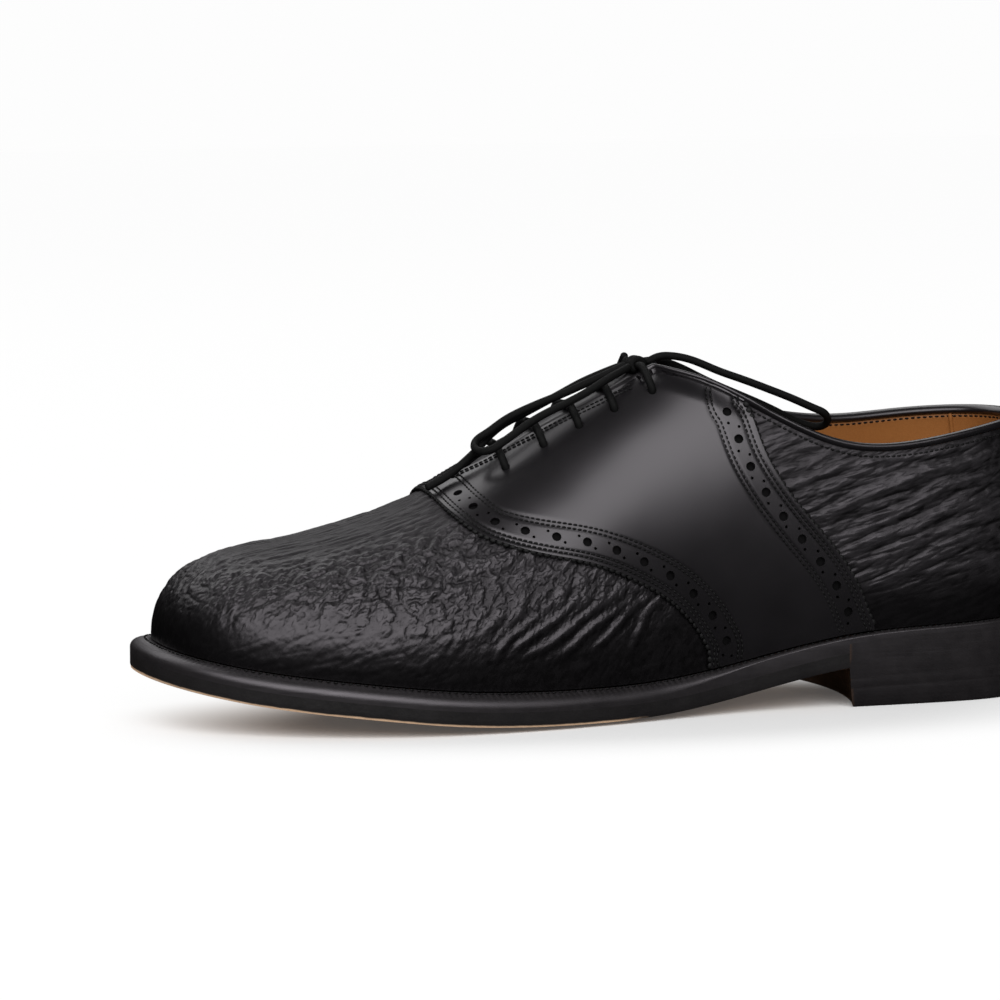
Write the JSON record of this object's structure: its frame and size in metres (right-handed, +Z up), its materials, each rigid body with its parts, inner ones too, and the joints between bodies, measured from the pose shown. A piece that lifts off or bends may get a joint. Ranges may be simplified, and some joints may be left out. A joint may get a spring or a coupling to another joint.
{
  "type": "saddle oxford shoe",
  "caption": "Leather saddle oxford for a left foot: grained upper with a smooth saddle over the instep, rolled collar, lace bow, welted sole and low heel, hollow and open at the collar.",
  "frame": {"origin": "middle of the sole's outline seen from above, on the floor that the heel and the ball stand on", "axes": "the toe points to -X, the outer side of the foot to -Y, and +Z is up"},
  "size_m": [0.3044, 0.1092, 0.1139],
  "materials": {
    "outsole_leather": "natural tan, matt",
    "heel_stack": "black edge dressing, satin",
    "welt_leather": "black edge dressing, satin",
    "upper_grain": "deep wrinkled grain, black",
    "saddle_calf": "smooth polished black",
    "binding_calf": "smooth black",
    "tongue_leather": "smooth black",
    "insole_leather": "natural tan",
    "lace_cord": "round waxed cotton, black"
  },
  "bodies": {
    "root": {"outsole": "outsole_leather", "heel": "heel_stack", "welt": "welt_leather", "upper": "upper_grain", "saddle_outer": "saddle_calf", "saddle_inner": "saddle_calf", "collar_binding": "binding_calf", "tongue": "tongue_leather", "insole": "insole_leather", "lace_bar_1": "lace_cord", "lace_bar_2": "lace_cord", "lace_bar_3": "lace_cord", "lace_bar_4": "lace_cord", "lace_top_outer": "lace_cord", "lace_top_inner": "lace_cord", "lace_knot": "lace_cord", "lace_loop_front": "lace_cord", "lace_end_front": "lace_cord", "lace_loop_back": "lace_cord", "lace_end_back": "lace_cord"}
  },
  "joints": []
}
